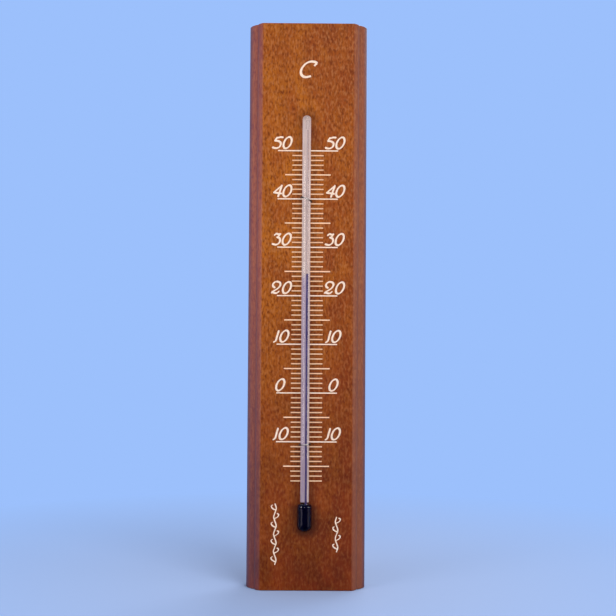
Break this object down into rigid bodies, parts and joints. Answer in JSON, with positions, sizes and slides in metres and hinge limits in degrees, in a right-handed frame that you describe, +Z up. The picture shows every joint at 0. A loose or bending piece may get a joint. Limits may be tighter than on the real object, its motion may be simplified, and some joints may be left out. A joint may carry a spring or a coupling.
{
  "type": "room thermometer",
  "caption": "Wooden room thermometer: moulded board with a printed Celsius scale, a spirit-filled glass capillary in two wire clips, and a keyhole hanger.",
  "frame": {"origin": "centre of the hanger keyhole's round entry, in the plane of the board's back", "axes": "+Z up the board, +Y out of its back towards the wall, so the scale faces -Y; +X to the right as the scale is read"},
  "size_m": [0.042, 0.0151, 0.2],
  "materials": {
    "stained_wood": "orange-brown stain under a thin satin varnish, fine upright grain",
    "clear_glass": "drawn and flame-closed capillary glass",
    "white_enamel": "opaque white enamel fused into the back of the stem",
    "blue_spirit": "dyed thermometer spirit, a liquid sealed in the glass",
    "steel_wire": "bright drawn wire, slightly dulled",
    "zinc_plated_steel": "stamped sheet with clear zinc plating",
    "zinc_plated_screws": "zinc-plated cross-recess wood screws",
    "cream_ink": "opaque cream screen-printing ink"
  },
  "bodies": {
    "thermometer": {"backboard": "stained_wood", "glass_tube": "clear_glass", "enamel_stripe": "white_enamel", "bulb_liquid": "blue_spirit", "liquid_column": "blue_spirit", "upper_wire_clip": "steel_wire", "lower_wire_clip": "steel_wire", "hanger_plate": "zinc_plated_steel", "hanger_screws": "zinc_plated_screws", "ten_degree_lines": "cream_ink", "five_degree_lines": "cream_ink", "degree_lines": "cream_ink", "left_numerals": "cream_ink", "right_numerals": "cream_ink", "unit_mark": "cream_ink", "tendrils": "cream_ink"},
    "liquid_top": {"liquid_head": "blue_spirit"}
  },
  "joints": [
    {"name": "liquid_rise", "type": "slide", "parent": "thermometer", "child": "liquid_top", "axis": [0, 0, 1], "range_m": [-0.07259, 0.04369], "deforming": ["liquid_column"]}
  ]
}
